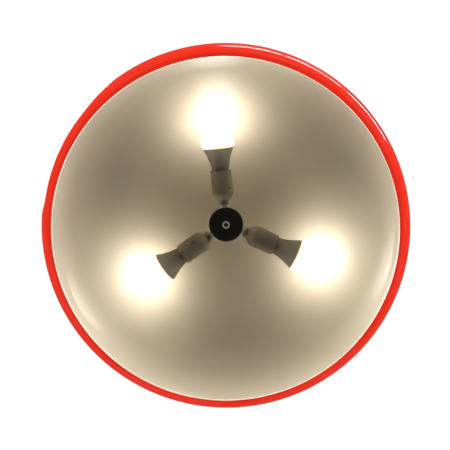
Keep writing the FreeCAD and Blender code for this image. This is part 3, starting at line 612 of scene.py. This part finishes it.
latch_half = LATCH_WIDTH / 2 - SLOT_GAP
latch_side = LATCH_REACH - LATCH_WIDTH / 2 - SLOT_GAP
latch_end = latch_start + LATCH_LENGTH - SLOT_GAP
latch_outline = softened([
    (-latch_half, latch_start + SLOT_GAP), (latch_side, latch_start + SLOT_GAP),
    (latch_side, latch_start + 2 * latch_half), (latch_half, latch_start + 2 * latch_half),
    (latch_half, latch_end), (-latch_half, latch_end)], LATCH_CORNER)
# Near-black paint for the plate in each slot: painted shade in the recess, not a part's own colour.
latch_dark = finish("latch_dark", (0.012, 0.010, 0.008), (0.020, 0.017, 0.013), blotch=200.0,
                    rough=(0.55, 0.70), grain=1500.0, bump=0.15, depth=0.00008)
for number in ARMS:
    latch = plate("latch_%d" % number, latch_outline, latch_floor + SLOT_GAP,
                  latch_floor + PLATE_TOP, arm_matrix(number, HOLDER_ROLLS[number - 1]))
    latch.data.materials.append(latch_dark)
    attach(latch, "root")

# ------------------------------------------------------------------ bulb caps and boards
# A plated screw cap with a black insulator and a solder-tinned tip. The light board sits at the
# housing's mouth, with its chips outwards, and the driver board stands in the housing.
solder = finish("solder_tin", (0.62, 0.62, 0.60), (0.50, 0.50, 0.49), blotch=240.0,
                rough=(0.24, 0.44), grain=1500.0, bump=0.22, depth=0.00012, Metallic=1.0)
vitrite = finish("black_vitrite", (0.010, 0.010, 0.011), (0.018, 0.017, 0.017), blotch=140.0,
                 rough=(0.10, 0.18), grain=900.0, bump=0.05, depth=0.00008)
cap_metal = finish("bulb_cap_plate", (0.74, 0.73, 0.70), (0.66, 0.65, 0.62), blotch=90.0,
                   rough=(0.16, 0.26), grain=1300.0, bump=0.05, depth=0.00006, Metallic=1.0)
board = finish("board_coating", (0.60, 0.63, 0.56), (0.52, 0.55, 0.48), blotch=160.0,
               rough=(0.32, 0.46), grain=1500.0, bump=0.12, depth=0.00008)
for number in ARMS:
    dress(solder, "bulb_tip_%d" % number)
    dress(vitrite, "bulb_insulator_%d" % number)
    dress(cap_metal, "bulb_cap_%d" % number)
    dress(board, "led_board_%d" % number, "driver_board_%d" % number)

# ------------------------------------------------------------------ bulb housings
# Each is one flared white polycarbonate moulding over a metal heat sink. It widens smoothly from
# the screw cap to the globe, and has a small step where the globe clips in.
housing_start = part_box("bulb_cap_1")[1].y
housing_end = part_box("bulb_globe_1")[0].y
HOUSING_RADIUS = 30.4 * MM
HOUSING_NECK = 16.2 * MM
HOUSING_WALL = 1.6 * MM
HOUSING_FLARE = 130.0 * MM
CAP_INNER = 11.2 * MM
LEDGE = 3.0 * MM
SPIGOT = 4.0 * MM
SPIGOT_WALL = 1.0 * MM
FOOT_INSET = 0.6 * MM
FOOT_HEIGHT = 1.4 * MM


def bow(start, end, radius, side, steps):
    """Points from start to end on an arc whose centre is left (1) or right (-1) of the way."""
    start, end = Vector(start), Vector(end)
    half = (end - start) / 2
    left = Vector((-half.y, half.x)).normalized()
    centre = start + half + left * side * math.sqrt(max(radius ** 2 - half.length ** 2, 0))
    first = math.atan2(start.y - centre.y, start.x - centre.x)
    last = math.atan2(end.y - centre.y, end.x - centre.x)
    while side > 0 and last < first:
        last += 2 * math.pi
    while side < 0 and last > first:
        last -= 2 * math.pi
    return arc(centre, radius, first, last, steps)


# The housings' white is darkened here, partly their own tone and partly painted shade under the
# dome.
polycarbonate = finish("housing_polycarbonate", (0.38, 0.345, 0.262), (0.35, 0.315, 0.238),
                       blotch=22.0, rough=(0.26, 0.36), grain=700.0, bump=0.05, depth=0.00008)
flare_low = (HOUSING_NECK - FOOT_INSET, housing_start + FOOT_HEIGHT)
flare_high = (HOUSING_RADIUS, housing_end - 0.5 * MM)
inner_low = (HOUSING_NECK - HOUSING_WALL - FOOT_INSET, housing_start + FOOT_HEIGHT + HOUSING_WALL)
inner_high = (HOUSING_RADIUS - HOUSING_WALL - 2.0 * MM, housing_end - LEDGE)
housing_outline = [
    (CAP_INNER - SPIGOT_WALL, housing_start - SPIGOT), (CAP_INNER, housing_start - SPIGOT),
    (CAP_INNER, housing_start), (HOUSING_NECK - 2.0 * MM, housing_start),
    (HOUSING_NECK - 1.2 * MM, housing_start + 0.25 * MM),
    (HOUSING_NECK - 0.75 * MM, housing_start + 0.8 * MM)]
housing_outline += bow(flare_low, flare_high, HOUSING_FLARE, -1, 28)
housing_outline += [
    (HOUSING_RADIUS - 0.15 * MM, housing_end - 0.15 * MM),
    (HOUSING_RADIUS - 0.6 * MM, housing_end),
    (HOUSING_RADIUS - HOUSING_WALL, housing_end),
    (HOUSING_RADIUS - HOUSING_WALL, housing_end - LEDGE), inner_high]
housing_outline += bow(inner_high, inner_low, HOUSING_FLARE, 1, 16)[1:]
housing_outline.append((CAP_INNER - SPIGOT_WALL, housing_start + FOOT_HEIGHT))
for number in ARMS:
    housing = turned("housing_%d" % number, housing_outline, steps=128,
                     matrix=arm_matrix(number))
    housing.data.materials.append(polycarbonate)
    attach(housing, "bulb_%d" % number)
    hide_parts("bulb_housing_%d" % number)

# ------------------------------------------------------------------ bulb globes
# Each is a frosted opal polycarbonate globe, lit from inside and clipped into its housing. It is
# brightest on its crown and on the side towards the dome, with a thin warm line at the housing.
GLOBE_RADIUS = 31.6 * MM
GLOBE_WALL = 1.2 * MM
GLOBE_JOINT = HOUSING_RADIUS - 0.7 * MM
GLOBE_TILT = math.radians(40)
GLOBE_BASE = 2.4
GLOBE_SWING = 25.0
GLOBE_FOCUS = 1.9
GLOBE_COLOUR = (1.0, 0.965, 0.90)
SEAM_BASE = 1.2
SEAM_SWING = 0.5
SEAM_COLOUR = (1.0, 0.50, 0.16)


def opal(name):
    """The frosted plastic of a globe."""
    return finish(name, (0.80, 0.78, 0.72), (0.76, 0.74, 0.68), blotch=30.0,
                  rough=(0.44, 0.56), grain=900.0, bump=0.06, depth=0.00008)


def lit_opal(name, axis, base, swing, colour):
    """Frosted plastic that glows more where its surface faces along the axis."""
    material = opal(name)
    tree = material.node_tree
    shader = tree.nodes["Principled BSDF"]
    shader.inputs["Emission Color"].default_value = (*colour, 1)
    surface = tree.nodes.new("ShaderNodeNewGeometry")
    facing = tree.nodes.new("ShaderNodeVectorMath")
    facing.operation = "DOT_PRODUCT"
    facing.inputs[1].default_value = axis
    share = new_node(tree, "ShaderNodeMapRange", From_Min=-1.0, From_Max=1.0)
    curve = tree.nodes.new("ShaderNodeMath")
    curve.operation = "POWER"
    curve.inputs[1].default_value = GLOBE_FOCUS
    strength = new_node(tree, "ShaderNodeMapRange", To_Min=base, To_Max=base + swing)
    tree.links.new(surface.outputs["Normal"], facing.inputs[0])
    tree.links.new(facing.outputs["Value"], share.inputs["Value"])
    tree.links.new(share.outputs["Result"], curve.inputs[0])
    tree.links.new(curve.outputs[0], strength.inputs["Value"])
    tree.links.new(strength.outputs["Result"], shader.inputs["Emission Strength"])
    return material


opal_inside = opal("globe_inside")
globe_centre = housing_end + math.sqrt(GLOBE_RADIUS ** 2 - GLOBE_JOINT ** 2)
foot = math.asin((housing_end - globe_centre) / GLOBE_RADIUS)
inner_radius = GLOBE_RADIUS - GLOBE_WALL
inner_foot = math.asin((housing_end - globe_centre) / inner_radius)
outer_side = arc((0, globe_centre), GLOBE_RADIUS, foot, math.pi / 2, 48)
outer_side[-1] = (0.0, globe_centre + GLOBE_RADIUS)
inner_side = arc((0, globe_centre), inner_radius, math.pi / 2, inner_foot, 24)
inner_side[0] = (0.0, globe_centre + inner_radius)
globe_outline = outer_side + inner_side
globe_zones = [1] * 2 + [0] * (len(outer_side) - 3) + [2] * (len(inner_side) + 1)
for number in ARMS:
    turn = math.radians(ARM_ANGLES[number - 1])
    axis = (math.cos(turn) * math.cos(GLOBE_TILT), math.sin(turn) * math.cos(GLOBE_TILT),
            math.sin(GLOBE_TILT))
    globe = turned("globe_%d" % number, globe_outline, steps=128, matrix=arm_matrix(number),
                   zones=globe_zones)
    globe.data.materials.append(
        lit_opal("globe_opal_%d" % number, axis, GLOBE_BASE, GLOBE_SWING, GLOBE_COLOUR))
    globe.data.materials.append(
        lit_opal("globe_seam_%d" % number, axis, SEAM_BASE, SEAM_SWING, SEAM_COLOUR))
    globe.data.materials.append(opal_inside)
    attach(globe, "bulb_%d" % number)
    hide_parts("bulb_globe_%d" % number)
